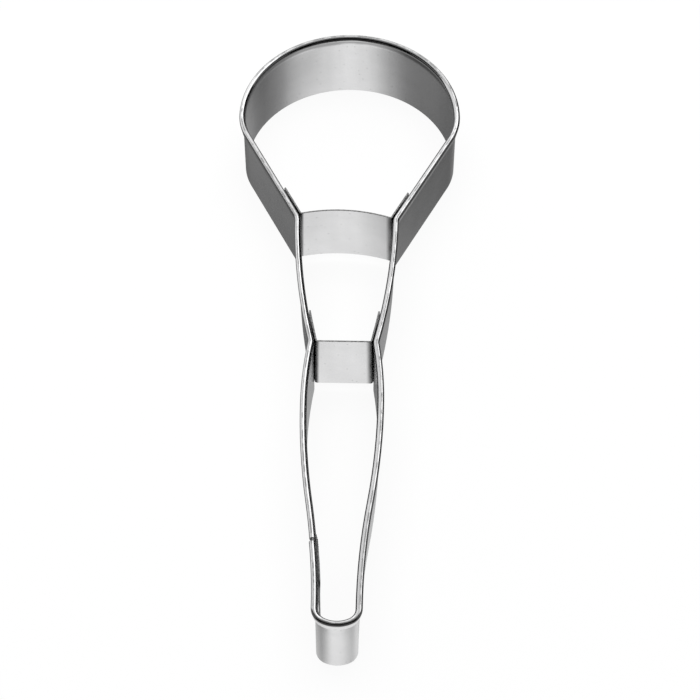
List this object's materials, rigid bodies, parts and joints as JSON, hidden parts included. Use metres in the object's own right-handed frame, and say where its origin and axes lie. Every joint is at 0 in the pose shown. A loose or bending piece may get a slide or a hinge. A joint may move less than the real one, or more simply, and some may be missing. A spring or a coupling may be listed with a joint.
{
  "type": "cookie cutter",
  "caption": "Sheet-metal cookie cutter in a powder-brush outline, with a hemmed top edge, a plain cutting edge and welded inner cross strips that mark the ferrule.",
  "frame": {"origin": "middle of the outline's box on the plane of the cutting edge", "axes": "+Y from the handle's foot to the brush head, +Z from the cutting edge up to the hemmed rim"},
  "size_m": [0.042, 0.1314, 0.015],
  "materials": {
    "tinned_sheet": "bright rolled",
    "weld_metal": "dull"
  },
  "bodies": {
    "root": {"outline_band": "tinned_sheet", "upper_cross_strip": "tinned_sheet", "lower_cross_strip": "tinned_sheet", "upper_left_weld_low": "weld_metal", "upper_left_weld_high": "weld_metal", "upper_right_weld_low": "weld_metal", "upper_right_weld_high": "weld_metal", "lower_left_weld_low": "weld_metal", "lower_left_weld_high": "weld_metal", "lower_right_weld_low": "weld_metal", "lower_right_weld_high": "weld_metal", "seam_weld_low": "weld_metal", "seam_weld_middle": "weld_metal", "seam_weld_high": "weld_metal"}
  },
  "joints": []
}
